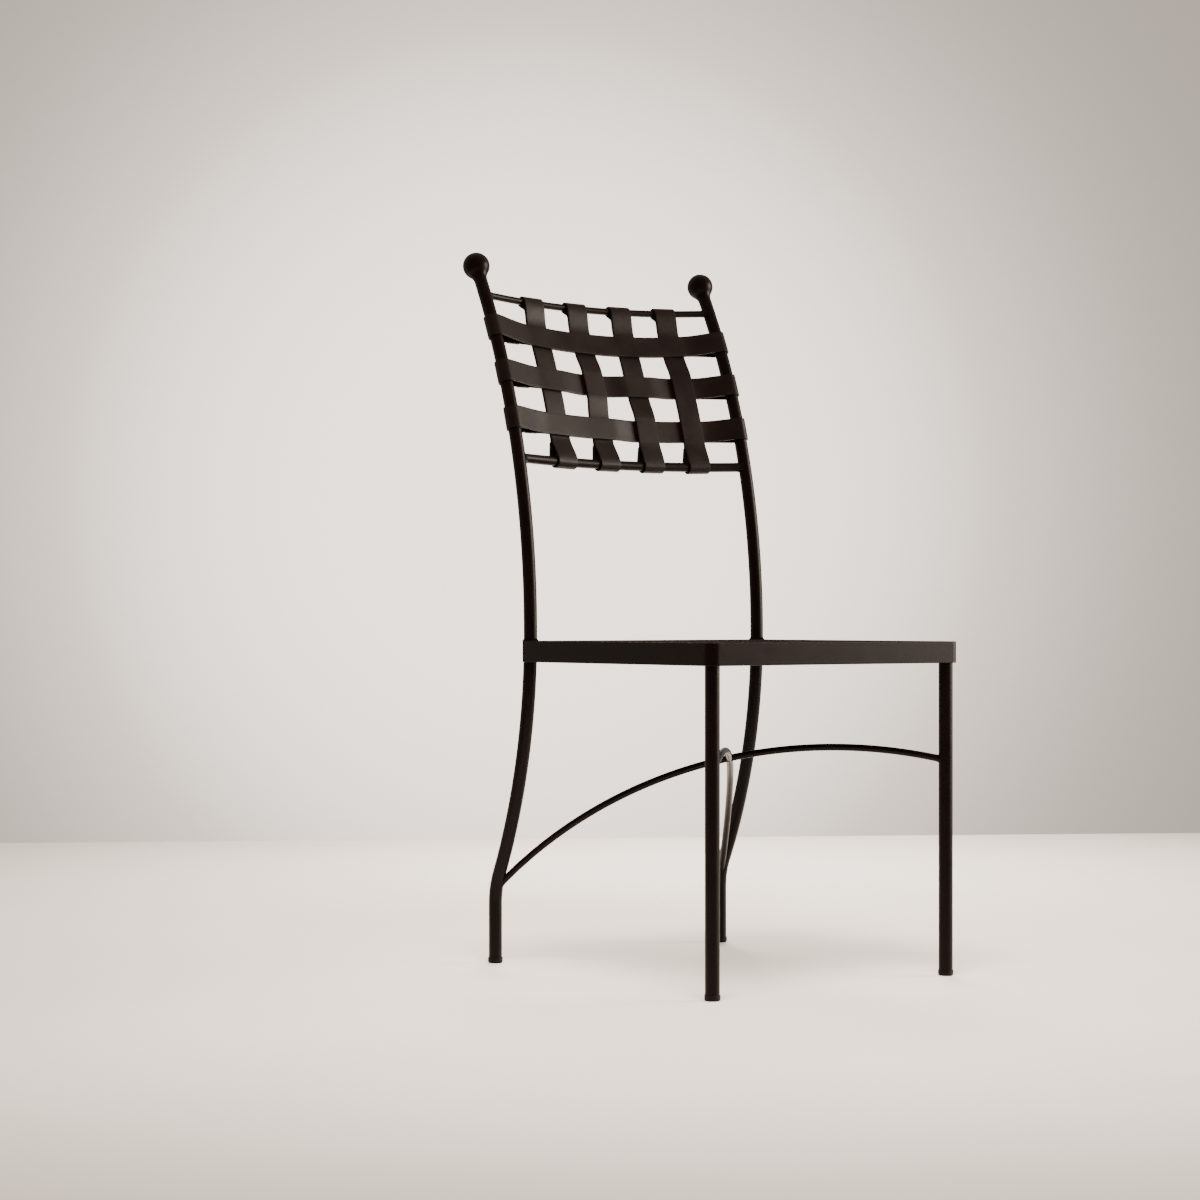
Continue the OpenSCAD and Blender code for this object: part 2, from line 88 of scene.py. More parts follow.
# Place of each level strap, as a share of the way up from the bottom rail to the top one
LEVEL_SHARES = (0.768, 0.499, 0.222)
# How much lower the middle of each level strap hangs than its ends
LEVEL_SAGS = (8 * MM, 3 * MM, 3 * MM)
# Share of a sag that hangs below the strap's own height. The rest stands above it.
SAG_BELOW = 0.375
# How much further than the strap it crosses a strap lies flat, on each side
FLAT_MARGIN = 1 * MM

# Sides of round sections, and steps of curves
RING_SIDES = 40
BALL_SIDES = 48
BALL_STEPS = 26
NECK_STEPS = 10
GLIDE_STEPS = 8
FOOT_STEPS = 14
LOWER_CURVE_STEPS = 40
UPPER_CURVE_STEPS = 56
CORNER_STEPS = 14
SHEET_CORNER_STEPS = 12
RAIL_STEPS = 60
ROD_STEPS = 72
WELD_STEPS = 4
RUN_STEPS = 14
WRAP_STEPS = 22
STRAP_COLUMNS = 8
BEVEL_STEPS = 2

# Turn, in degrees, from which an edge counts as sharp
SHARP = 40
STRAP_SHARP = 50
BAR_SHARP = 60

# Points closer than this become one
SAME_POINT = 0.001 * MM
SAME_STRAP_POINT = 0.01 * MM
# Radius left open at a ball's tip to be capped, as a share of the ball's
TIP_SHARE = 0.01
# Rounding of a glide's lower edge, as a share of its height
GLIDE_ROUND = 1 / 3
# A weld starts at this share of its tube's radius, and this deep in what it goes round
WELD_START = 0.6
WELD_SINK = 0.1 * MM

# Grain and clouds of the coats
CLOUD_DETAIL = 4.0
CLOUD_RANGE = (0.32, 0.68)
GRAIN_DETAIL = 3.0
GRAIN_DEPTH = 0.2 * MM
# Sockets of a colour mix, which share their names with those for other types
MIX_FACTOR, MIX_LOW, MIX_HIGH, MIX_RESULT = 0, 6, 7, 2

# Brightness of the wall by the angle, as a share of half a turn, off the middle of
# its pool of light, and how far that middle is off the camera's direction
WALL_STEPS = (
    (0.0, 1.0), (0.025, 0.98), (0.036, 0.87), (0.046, 0.68), (0.055, 0.46), (0.071, 0.28),
    (0.09, 0.2), (0.25, 0.2), (0.42, 0.38), (0.56, 0.14), (1.0, 0.1),
)
POOL_TURN = 0.026
POOL_RISE = 0.045

# Size in metres, power in watts, spread in degrees, and whether it shows in gloss
Lamp = namedtuple("Lamp", "name place aim size power spread glossy")
LAMPS = (
    Lamp("side", (3.3, -2.0, 1.35), (0, 0, 0.6), 2.2, 64.0, 80, True),
    Lamp("front", (-0.7, -0.85, 2.1), (-0.15, -0.18, 0), 1.0, 31.0, 84, False),
    Lamp("rear", (1.3, 1.6, 2.3), (0.9, 1.1, 0), 1.0, 56.0, 90, False),
)
# Width of the camera's film in millimetres, and how far it sees in metres
FILM_WIDTH = 36.0
SIGHT = 50.0


def length(name, text, default):
    """A length of the chair as a Blender property."""
    return FloatProperty(name=name, description=text, default=default, unit="LENGTH",
                         precision=4, min=0.0)


def coordinate(name, text, default):
    """A coordinate, of either sign, as a Blender property."""
    return FloatProperty(name=name, description=text, default=default, unit="LENGTH")


def angle(name, text, degrees):
    """An angle of the chair as a Blender property."""
    return FloatProperty(name=name, description=text, default=math.radians(degrees),
                         subtype="ANGLE")


def colour(name, text, rgb):
    """A colour as a Blender property."""
    return FloatVectorProperty(name=name, description=text, default=rgb, subtype="COLOR",
                               size=3, min=0.0, max=1.0)


def number(name, text, default, unit="NONE"):
    """A number that is no length or angle as a Blender property."""
    return FloatProperty(name=name, description=text, default=default, unit=unit)


class FrameSizes(bpy.types.PropertyGroup):
    """Sizes of the tube frame."""
    half_span: length("Half span", "Half the distance between the leg centres", LEG_MIDDLE.x)
    leg_d: length("Leg diameter", "Outer diameter of a front leg", LEG_SIZE.x)
    post_d: length("Post diameter", "Outer diameter of a rear post", 18.5 * MM)
    glide_d: length("Glide diameter", "Diameter of a foot glide", GLIDE_SIZE.x)
    glide_h: length("Glide height", "Height of a glide that shows", 8 * MM)
    glide_rim: length("Glide rim", "Bevel of a glide's upper edge", 0.6 * MM)
    foot_h: length("Foot height", "Top of the upright stretch at the rear foot", 83 * MM)
    foot_bend_r: length("Foot bend", "Radius of the bend above the rear foot", 100 * MM)
    waist_h: length("Waist height", "Height at which the posts stand upright", 460 * MM)
    waist_run: length("Waist length", "Length of the upright stretch at the waist", 6 * MM)
    reach: length("Seat reach", "Distance from the front legs to the posts' waist", 392 * MM)
    splay: length("Rear splay", "How far the rear feet stand behind the waist", 84 * MM)
    upper_r: length("Upper radius", "Radius of the long curve of the back", 1074 * MM)
    upper_lean: angle("Upper lean", "Lean of the posts at their top ends", 27.5)
    ball_d: length("Ball diameter", "Diameter of a finial's ball", 38 * MM)
    ball_rise: length("Ball rise", "Height of a ball's middle over the post's end", 21 * MM)
    neck_r: length("Neck radius", "Radius of the hollow between ball and post", 18 * MM)


class SeatSizes(bpy.types.PropertyGroup):
    """Sizes of the seat."""
    seat_h: length("Seat height", "Height of the seat's top", BAND_HIGH.z)
    band_h: length("Band height", "Height of the bar round the seat",
                   BAND_HIGH.z - BAND_LOW.z)
    band_t: length("Band thickness", "Thickness of the bar round the seat",
                   RAIL_HIGH.y - RAIL_LOW.y)
    band_edge: length("Band edge", "Rounding of the bar's edges", 0.9 * MM)
    bar_edge: length("Rear bar edge", "Rounding of the rear bar's edges", 0.7 * MM)
    sheet_t: length("Sheet thickness", "Thickness of the seat sheet", 2.5 * MM)
    sheet_edge: length("Sheet edge", "Rounding of the sheet's edges", 0.5 * MM)
    gap: length("Sheet gap", "Gap between the sheet and the bar", 0.4 * MM)
    weld_flare: length("Weld flare", "How far a weld stands out round a post", 3 * MM)
    weld_h: length("Weld height", "Height of the weld round a post", 4.5 * MM)
    weld_sink: length("Weld sink", "How deep in the sheet a weld starts", 0.3 * MM)


class BackSizes(bpy.types.PropertyGroup):
    """Sizes of the woven back."""
    upper_rail_d: length("Top rail diameter", "Diameter of the top rail", 10 * MM)
    lower_rail_d: length("Bottom rail diameter", "Diameter of the bottom rail", 13.5 * MM)
    upper_rail_lean: angle("Top rail lean", "Lean of the back at the top rail", 26.1)
    lower_rail_lean: angle("Bottom rail lean", "Lean of the back at the bottom rail", 12.9)
    bow: length("Bow", "How far the middle of the rails bows backwards", 18 * MM)
    strap_t: length("Strap thickness", "Thickness of a strap", 2 * MM)
    strap_edge: length("Strap edge", "Rounding of a strap's edges", 0.45 * MM)
    upright_w: length("Upright strap width", "Width of the upright straps", 35 * MM)
    upright_pitch: length("Upright strap pitch", "Step from one upright strap to the next",
                          79.365 * MM)
    upright_shift: length("Upright strap shift", "How far the upright straps are off the middle",
                          2.7 * MM)
    level_w: length("Level strap width", "Width of the level straps", 32 * MM)
    weave_gap: length("Weave gap", "Clearance between layers that cross", 0.3 * MM)
    wrap_gap: length("Wrap gap", "Clearance between a strap and its tube", 0.3 * MM)
    pinch_run: length("Pinch", "How far below the top rail an upright strap's layers meet",
                      17 * MM)
    slack: length("Slack", "How far an upright strap stands off its rail", 1 * MM)
    lap: length("Lap", "Length of the lap that closes a strap", 20 * MM)
    lap_gap: length("Lap gap", "Clearance between the layers of a lap", 0.05 * MM)


class RodSizes(bpy.types.PropertyGroup):
    """Sizes of the crossed rods under the seat."""
    rod_d: length("Rod diameter", "Diameter of a rod", 9.4 * MM)
    rear_h: length("Rear height", "Height of a rod at the rear post", 104 * MM)
    front_h: length("Front height", "Height of a rod at the front leg", 290 * MM)
    rise: length("Rise", "Rise of a rod's arch", 87 * MM)
    lean: angle("Arch lean", "Forward lean of the arches", 11.5)
    flare: length("Weld flare", "How far a weld stands out round a rod", 2 * MM)
    weld_run: length("Weld length", "Length of the weld along a rod", 6 * MM)
    weld_gap: length("Weld gap", "Gap between the rods where they cross", 0.2 * MM)


class Finishes(bpy.types.PropertyGroup):
    """Colours of the chair and its stage."""
    metal: colour("Metal", "Colour of the painted tubes", (0.0028, 0.0011, 0.0008))
    leather: colour("Leather", "Colour of the straps", (0.0044, 0.0022, 0.0018))
    glide: colour("Glides", "Colour of the foot glides", (0.0028, 0.0018, 0.0015))
    rivet: colour("Rivets", "Colour of the rivets", (0.03, 0.022, 0.017))
    floor: colour("Floor", "Colour of the floor", (0.80, 0.77, 0.745))
    wall: colour("Wall", "Colour of the background", (1.0, 0.86, 0.75))


class StageSizes(bpy.types.PropertyGroup):
    """The floor, lights and camera."""
    floor_half: length("Floor half side", "Half the side of the square floor", 2.204)
    floor_turn: angle("Floor turn", "Turn of the floor about the upright axis", -31.23)
    wall_light: number("Wall light", "Brightness of the lit wall", 2.85)
    camera_x: coordinate("Camera X", "Place of the camera across", -2.3873)
    camera_y: coordinate("Camera Y", "Place of the camera along", -2.9149)
    camera_h: length("Camera height", "Height of the camera", 0.48206)
    camera_turn: angle("Camera turn", "Direction of the camera", -37.126)
    lens: number("Lens", "Focal length in millimetres", 81.88, unit="CAMERA")
    lift: number("Lift", "Upward shift, as a share of the picture's width", 0.01455)


# ---- Modelling with Blender's own tools ----

def clear_selection():
    """Leaves edit mode with nothing selected."""
    if bpy.context.mode != "OBJECT":
        bpy.ops.object.mode_set(mode="OBJECT")
    bpy.ops.object.select_all(action="DESELECT")


def pick(piece):
    """Selects one piece alone."""
    clear_selection()
    piece.select_set(True)
    bpy.context.view_layer.objects.active = piece


def bake_place():
    """Puts the selected piece's place, turn and scale into its mesh."""
    bpy.ops.object.transform_apply(location=True, rotation=True, scale=True)


def settle(piece, place):
    """Sets a piece, modelled at the origin, at its place."""
    pick(piece)
    piece.matrix_world = place
    bake_place()


def edit_all():
    """Opens the active piece in edit mode with all of it selected."""
    bpy.ops.object.mode_set(mode="EDIT")
    bpy.ops.mesh.select_all(action="SELECT")


def unselect_all(kind):
    """Leaves nothing of the active mesh selected, ready to pick parts of one kind."""
    bpy.ops.object.mode_set(mode="EDIT")
    bpy.ops.mesh.select_mode(type=kind)
    bpy.ops.mesh.select_all(action="DESELECT")
    bpy.ops.object.mode_set(mode="OBJECT")


def named(name, sides=(1, 1, 1)):
    """Names the piece just added, gives it its sides and bakes its place."""
    piece = bpy.context.object
    piece.name = name
    piece.scale = sides
    bake_place()
    return piece


def start_ring(name, centre, along, radius, sides=RING_SIDES):
    """A ring of edges, selected in edit mode, from which a round piece is drawn."""
    clear_selection()
    turn = Vector(along).to_track_quat("Z", "Y").to_euler()
    bpy.ops.mesh.primitive_circle_add(vertices=sides, radius=radius, location=centre,
                                      rotation=turn)
    piece = named(name)
    edit_all()
    return piece


def start_section(name, centre, width, height, turn):
    """A rectangle of edges, selected in edit mode, from which a bar is drawn."""
    clear_selection()
    bpy.ops.mesh.primitive_plane_add(size=1, location=centre, rotation=turn)
    piece = named(name, (width, height, 1))
    edit_all()
    bpy.ops.mesh.delete(type="ONLY_FACE")
    bpy.ops.mesh.select_all(action="SELECT")
    return piece


def pull(offset):
    """Draws the selected edges on by an offset."""
    bpy.ops.mesh.extrude_region_move(TRANSFORM_OT_translate={"value": tuple(offset)})


def swell(centre, factor):
    """Scales the selected edges about a centre."""
    bpy.ops.transform.resize(value=(factor, factor, factor), center_override=tuple(centre))


def bend(centre, axis, turn, steps):
    """Draws the selected edges round an axis, right-handed for a positive turn."""
    bpy.ops.mesh.spin(steps=steps, angle=-turn, center=tuple(centre), axis=tuple(axis))


def shade(sharp=SHARP):
    """Shades the active piece smooth but for its sharp edges."""
    bpy.ops.object.shade_smooth_by_angle(angle=math.radians(sharp))


def close(piece):
    """Caps the open ends, turns the faces outwards and shades the piece."""
    bpy.ops.mesh.select_all(action="SELECT")
    bpy.ops.mesh.remove_doubles(threshold=SAME_POINT)
    bpy.ops.mesh.fill_holes(sides=0)
    bpy.ops.mesh.normals_make_consistent(inside=False)
    bpy.ops.object.mode_set(mode="OBJECT")
    shade()
    return piece


def turned(name, base, along, profile, sides=RING_SIDES):
    """A piece of round section. profile has heights from the base and radii."""
    along = Vector(along).normalized()
    base = Vector(base)
    height, radius = profile[0]
    piece = start_ring(name, base + along * height, along, radius, sides)
    for next_height, next_radius in profile[1:]:
        pull(along * (next_height - height))
        swell(base + along * next_height, next_radius / radius)
        height, radius = next_height, next_radius
    return close(piece)


def apply_modifiers(piece):
    """Makes the piece's modifiers part of its mesh."""
    for modifier in list(piece.modifiers):
        bpy.ops.object.modifier_apply(modifier=modifier.name)


def soften(piece, width, sharp=SHARP):
    """Rounds the sharp edges of the active piece."""
    bpy.ops.object.modifier_add(type="BEVEL")
    edge = piece.modifiers[-1]
    edge.width = width
    edge.segments = BEVEL_STEPS
    edge.limit_method = "ANGLE"
    edge.angle_limit = math.radians(sharp)
    apply_modifiers(piece)
    shade(sharp)
    bpy.ops.object.modifier_add(type="WEIGHTED_NORMAL")
    piece.modifiers[-1].keep_sharp = True
    apply_modifiers(piece)


def cut(piece, cutter):
    """Takes the cutter's shape out of the piece and removes the cutter."""
    pick(piece)
    bpy.ops.object.modifier_add(type="BOOLEAN")
    taken = piece.modifiers[-1]
    taken.operation = "DIFFERENCE"
    taken.solver = "EXACT"
    taken.object = cutter
    apply_modifiers(piece)
    bpy.data.objects.remove(cutter)


def join(pieces, name):
    """Makes several pieces one."""
    clear_selection()
    for piece in pieces:
        piece.select_set(True)
    bpy.context.view_layer.objects.active = pieces[0]
    bpy.ops.object.join()
    piece = bpy.context.object
    piece.name = name
    return piece


def copied(piece, name, move=(0, 0, 0)):
    """A copy of a piece with its own mesh, moved to its place."""
    pick(piece)
    bpy.ops.object.duplicate(linked=False)
    twin = bpy.context.object
    twin.name = name
    twin.data.name = name
    bpy.ops.transform.translate(value=tuple(move))
    bake_place()
    return twin


def mirrored(piece, name):
    """A copy of a piece with its own mesh, mirrored across the chair."""
    twin = copied(piece, name)
    twin.scale.x = -1
    bake_place()
    edit_all()
    bpy.ops.mesh.normals_make_consistent(inside=False)
    bpy.ops.object.mode_set(mode="OBJECT")
    return twin


def check_whole(piece):
    """Stops the build when a piece is empty, has an open edge or isn't settled."""
    if piece.matrix_world != Matrix.Identity(4):
        raise RuntimeError(piece.name + " is not settled at the origin")
    faces = [0] * len(piece.data.edges)
    for corner in piece.data.loops:
        faces[corner.edge_index] += 1
    if not faces or any(count != 2 for count in faces):
        raise RuntimeError(piece.name + " is not a closed piece")


def hand_over(piece, material, slot_name, *nodes):
    """Checks a finished piece, gives it its material and its body, and hides the nodes that it
    stands for.
    """
    check_whole(piece)
    piece.data.materials.clear()
    piece.data.materials.append(material)
    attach(piece, BODY)
    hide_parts(*nodes)


# ---- Where things are on the chair ----
# s is the group of frame sizes and b that of back sizes. A strap's layer is -1 in
# front and 1 behind.

def waist_y(s):
    """Place of the posts along Y where they stand upright at the waist."""
    return LEG_MIDDLE.y + s.reach


def waist_low(s):
    """Height at which the posts become upright at the waist."""
    return s.waist_h - s.waist_run / 2


def waist_high(s):
    """Height at which the long curve of the back starts."""
    return s.waist_h + s.waist_run / 2


def post_curve(s):
    """Angle of the foot bend and radius of the lower curve."""
    rise = waist_low(s) - s.foot_h
    turn = 2 * math.atan(s.splay / rise)
    return turn, rise / math.sin(turn) - s.foot_bend_r


def post_depth(s, height):
    """How far behind the front legs a post's middle is at a height under the waist."""
    foot_turn, lower_r = post_curve(s)
    if height > s.foot_h + s.foot_bend_r * math.sin(foot_turn):
        return s.reach + lower_r - math.sqrt(lower_r ** 2 - (waist_low(s) - height) ** 2)
    rise = max(height - s.foot_h, 0)
    return s.reach + s.splay - s.foot_bend_r + math.sqrt(s.foot_bend_r ** 2 - rise ** 2)


def back_matrix(s, lean):
    """The frame of the leaning back: Y is the depth behind the posts, Z up along it."""
    origin = Vector((0, waist_y(s) + s.upper_r, waist_high(s)))
    return (Matrix.Translation(origin) @ Matrix.Rotation(-lean, 4, "X")
            @ Matrix.Translation((0, -s.upper_r, 0)))


def bow_radius(s, b):
    """Radius of the curve that the rails and level straps follow."""
    return (s.half_span ** 2 + b.bow ** 2) / (2 * b.bow)


def bow_at(s, b, x):
    """Depth of the bow at a place across the chair."""
    r = bow_radius(s, b)
    return math.sqrt(r * r - x * x) - r + b.bow


def bow_turn(s, b, x):
    """Heading of the bow at a place across the chair."""
    return -math.asin(x / bow_radius(s, b))


def level_lean(b, row):
    """Lean of the back at a level strap."""
    return b.lower_rail_lean + LEVEL_SHARES[row] * (b.upper_rail_lean - b.lower_rail_lean)


def upright_x(b, col):
    """Place of an upright strap across the chair."""
    return b.upright_shift + (col - (len(WEAVE[0]) - 1) / 2) * b.upright_pitch


def run(start, leave, end, arrive):
    """Points between start and end of a smooth run with the given headings there."""
    span = (end - start).length
    points = []
    for k in range(1, RUN_STEPS):
        u = k / RUN_STEPS
        v = 1 - u
        points.append((1 + 2 * u) * v * v * start + u * v * v * span * leave
                      + u * u * (3 - 2 * u) * end - u * u * v * span * arrive)
    return points


def wrap(centre, radius, start, end):
    """Points of an arc, from the angle start to the angle end."""
    turns = (start + (end - start) * k / WRAP_STEPS for k in range(WRAP_STEPS + 1))
    return [centre + radius * Vector((math.cos(t), math.sin(t))) for t in turns]


def joined(flats, ways):
    """One line through flat stretches, each with its heading."""
    line = list(flats[0])
    for k in range(1, len(flats)):
        line += run(flats[k - 1][1], ways[k - 1], flats[k][0], ways[k]) + list(flats[k])
    return line


def upright_line(s, b, col):
    """The closed middle line of an upright strap, as depth and height about the
    middle of the back, and the stretch that carries its lap."""
    x = upright_x(b, col)
    bow = bow_at(s, b, x)
    mid = (b.upper_rail_lean + b.lower_rail_lean) / 2
    pitch = b.strap_t + b.weave_gap

    def away(lean):
        return Vector((math.cos(lean - mid), -math.sin(lean - mid)))

    def up(lean):
        return Vector((math.sin(lean - mid), math.cos(lean - mid)))

    def spot(lean, depth):
        return Vector((s.upper_r, 0)) - (s.upper_r - depth) * away(lean)

    def flat(row, layer):
        centre = spot(level_lean(b, row), bow + (WEAVE[row][col] + layer / 2) * pitch)
        half = layer * (b.level_w / 2 + FLAT_MARGIN) * up(level_lean(b, row))
        return [centre + half, centre - half]

    def over(lean, diameter, start):
        turn = start - (lean - mid)
        radius = diameter / 2 + b.slack + b.strap_t / 2
        return wrap(spot(lean, bow), radius, turn, turn - math.pi)

    top = over(b.upper_rail_lean, b.upper_rail_d, math.pi)
    low = over(b.lower_rail_lean, b.lower_rail_d, 0)
    rows = range(len(WEAVE))
    down = [flat(row, 1) for row in rows]
    rise = [flat(row, -1) for row in reversed(rows)]
    down_ways = [-up(level_lean(b, row)) for row in rows]
    rise_ways = [up(level_lean(b, row)) for row in reversed(rows)]
    lap = (down[-1][1], down_ways[-1], low[0], -up(b.lower_rail_lean))
    fall = (rise[-1][1] - top[0]).normalized()
    pinch = top[0] + b.pinch_run * fall + pitch * away(b.upper_rail_lean)
    line = (top + run(top[-1], -up(b.upper_rail_lean), pinch, fall)
            + [pinch] + run(pinch, fall, down[0][0], down_ways[0])
            + joined(down, down_ways) + run(*lap) + low
            + run(low[-1], up(b.lower_rail_lean), rise[0][0], rise_ways[0])
            + joined(rise, rise_ways)
            + run(rise[-1][1], rise_ways[-1], top[0], up(b.upper_rail_lean)))
    return line, lap


def level_line(s, b, row):
    """The closed middle line of a level strap, as place across and depth, and the
    stretch that carries its lap."""
    pitch = b.strap_t + b.weave_gap
    radius = s.post_d / 2 + b.wrap_gap + b.strap_t / 2

    def way(col):
        turn = bow_turn(s, b, upright_x(b, col))
        return Vector((math.cos(turn), math.sin(turn)))

    def flat(col, layer):
        x = upright_x(b, col)
        along = way(col)
        depth = (-WEAVE[row][col] + layer / 2) * pitch
        centre = Vector((x, bow_at(s, b, x))) + depth * Vector((-along.y, along.x))
        half = layer * (b.upright_w / 2 + FLAT_MARGIN) * along
        return [centre - half, centre + half]

    def leave(side, layer, point):
        return math.atan2(point.y - layer * radius, abs(point.x - side * s.half_span))

    def heading(turn):
        return Vector((math.sin(turn), -math.cos(turn)))

    cols = range(len(WEAVE[0]))
    there = [flat(col, 1) for col in cols]
    back = [flat(col, -1) for col in reversed(cols)]
    quarter = math.pi / 2
    # Angles about the posts at which the two layers meet each wrap
    ends = (-quarter + leave(-1, -1, back[-1][1]), -3 * quarter + leave(-1, 1, there[0][0]),
            quarter - leave(1, 1, there[-1][1]), -quarter - leave(1, -1, back[0][0]))
    left = wrap(Vector((-s.half_span, 0)), radius, ends[0], ends[1])
    right = wrap(Vector((s.half_span, 0)), radius, ends[2], ends[3])
    there_ways = [way(col) for col in cols]
    back_ways = [-way(col) for col in reversed(cols)]
    lap = (left[-1], heading(ends[1]), there[0][0], there_ways[0])
    line = (left + run(*lap) + joined(there, there_ways)
            + run(there[-1][1], there_ways[-1], right[0], heading(ends[2])) + right
            + run(right[-1], heading(ends[3]), back[0][0], back_ways[0])
            + joined(back, back_ways)
            + run(back[-1][1], back_ways[-1], left[0], heading(ends[0])))
    return line, lap


# ---- Materials ----

def link(tree, source, output, target, entry):
    """Links an output of one node to an input of another."""
    tree.links.new(source.outputs[output], target.inputs[entry])


def mottle_group():
    """A cloudy mask, 0 to 1, and a fine bump height, both on the given coordinates."""
    tree = bpy.data.node_groups.get("Coat mottle")
    if tree:
        return tree
    tree = bpy.data.node_groups.new("Coat mottle", "ShaderNodeTree")
    face = tree.interface
    face.new_socket("Vector", in_out="INPUT", socket_type="NodeSocketVector")
    for name in ("Cloud scale", "Grain scale"):
        face.new_socket(name, in_out="INPUT", socket_type="NodeSocketFloat")
    for name in ("Cloud", "Grain"):
        face.new_socket(name, in_out="OUTPUT", socket_type="NodeSocketFloat")
    nodes = tree.nodes
    start = nodes.new("NodeGroupInput")
    end = nodes.new("NodeGroupOutput")
    cloud = nodes.new("ShaderNodeTexNoise")
    cloud.inputs["Detail"].default_value = CLOUD_DETAIL
    spread = nodes.new("ShaderNodeMapRange")
    spread.inputs["From Min"].default_value, spread.inputs["From Max"].default_value = CLOUD_RANGE
    grain = nodes.new("ShaderNodeTexNoise")
    grain.inputs["Detail"].default_value = GRAIN_DETAIL
    link(tree, start, "Vector", cloud, "Vector")
    link(tree, start, "Cloud scale", cloud, "Scale")
    link(tree, cloud, "Fac", spread, "Value")
    link(tree, spread, "Result", end, "Cloud")
    link(tree, start, "Vector", grain, "Vector")
    link(tree, start, "Grain scale", grain, "Scale")
    link(tree, grain, "Fac", end, "Grain")
    return tree


def coated(name, base, dark, rough, cloud_scale, grain_scale, bump, specular=0.5, metallic=0.0):
    """A coat, made once, with soft clouds in colour and gloss and a fine grain. dark
    is the share of the colour that the darker clouds keep."""
    if name in bpy.data.materials:
        return bpy.data.materials[name]
    material = bpy.data.materials.new(name)
    material.use_nodes = True
    tree = material.node_tree
    nodes = tree.nodes
    shader = nodes["Principled BSDF"]
    spot = nodes.new("ShaderNodeTexCoord")
    mottle = nodes.new("ShaderNodeGroup")
    mottle.node_tree = mottle_group()
    mottle.inputs["Cloud scale"].default_value = cloud_scale
    mottle.inputs["Grain scale"].default_value = grain_scale
    link(tree, spot, "Object", mottle, "Vector")
    tint = nodes.new("ShaderNodeMix")
    tint.data_type = "RGBA"
    tint.inputs[MIX_LOW].default_value = (*[c * dark for c in base], 1)
    tint.inputs[MIX_HIGH].default_value = (*base, 1)
    link(tree, mottle, "Cloud", tint, MIX_FACTOR)
    link(tree, tint, MIX_RESULT, shader, "Base Color")
    gloss = nodes.new("ShaderNodeMapRange")
    gloss.inputs["To Min"].default_value, gloss.inputs["To Max"].default_value = rough
    link(tree, mottle, "Cloud", gloss, "Value")
    link(tree, gloss, "Result", shader, "Roughness")
    relief = nodes.new("ShaderNodeBump")
    relief.inputs["Strength"].default_value = bump
    relief.inputs["Distance"].default_value = GRAIN_DEPTH
    link(tree, mottle, "Grain", relief, "Height")
    link(tree, relief, "Normal", shader, "Normal")
    shader.inputs["Specular IOR Level"].default_value = specular
    shader.inputs["Metallic"].default_value = metallic
    return material


def frame_paint(finish):
    return coated("Dark bronze paint", finish.metal, dark=0.7, rough=(0.31, 0.38),
                  cloud_scale=35.0, grain_scale=700.0, bump=0.25, specular=0.085)


def sheet_paint(finish):
    return coated("Matt bronze paint", finish.metal, dark=0.7, rough=(0.8, 0.9),
                  cloud_scale=35.0, grain_scale=500.0, bump=0.4, specular=0.03)


def strap_leather(finish):
    return coated("Dark brown leather", finish.leather, dark=0.72, rough=(0.33, 0.46),
                  cloud_scale=28.0, grain_scale=1100.0, bump=0.5, specular=0.12)


def glide_plastic(finish):
    return coated("Black glide", finish.glide, dark=0.8, rough=(0.5, 0.62),
                  cloud_scale=60.0, grain_scale=1500.0, bump=0.2, specular=0.12)


def rivet_metal(finish):
    return coated("Darkened rivet", finish.rivet, dark=0.6, rough=(0.3, 0.45),
                  cloud_scale=120.0, grain_scale=2000.0, bump=0.2, metallic=1.0)


def floor_coat(finish):
    return coated("Pale floor", finish.floor, dark=0.985, rough=(0.55, 0.65),
                  cloud_scale=3.0, grain_scale=300.0, bump=0.02)


def pale_room(finish, stage):
    """A pale wall all round, lit by a pool of light behind the chair."""
    world = bpy.data.worlds.new("Pale room")
    world.use_nodes = True
    tree = world.node_tree
    nodes = tree.nodes
    back = nodes["Background"]
    way = nodes.new("ShaderNodeTexCoord")
    toward = nodes.new("ShaderNodeVectorMath")
    toward.operation = "DOT_PRODUCT"
    turn = stage.camera_turn + POOL_TURN
    aim = Vector((-math.sin(turn), math.cos(turn), POOL_RISE))
    toward.inputs[1].default_value = aim.normalized()
    off = nodes.new("ShaderNodeMath")
    off.operation = "ARCCOSINE"
    share = nodes.new("ShaderNodeMath")
    share.operation = "DIVIDE"
    share.inputs[1].default_value = math.pi
    pool = nodes.new("ShaderNodeValToRGB")
    pool.color_ramp.interpolation = "B_SPLINE"
    stops = pool.color_ramp.elements
    while len(stops) < len(WALL_STEPS):
        stops.new(1.0)
    for stop, (share_off, brightness) in zip(stops, WALL_STEPS):
        stop.position = share_off
        stop.color = (*[brightness * c for c in finish.wall], 1)
    link(tree, way, "Generated", toward, 0)
    link(tree, toward, "Value", off, 0)
    link(tree, off, 0, share, 0)
    link(tree, share, 0, pool, "Fac")
    link(tree, pool, "Color", back, "Color")
    back.inputs["Strength"].default_value = stage.wall_light
    return world


MAKERS = {"paint": frame_paint, "matt": sheet_paint, "leather": strap_leather,
          "glide": glide_plastic, "rivet": rivet_metal, "floor": floor_coat}


def material_of(kind):
    return MAKERS[kind](bpy.context.scene.chair_finishes)


# ---- The pieces ----

def flared(radius, flare, depth):
    """Profile of a weld that narrows from radius + flare to radius."""
    shares = (k / WELD_STEPS for k in range(WELD_STEPS + 1))
    return [(depth * share, radius + flare * (1 - share) ** 2) for share in shares]


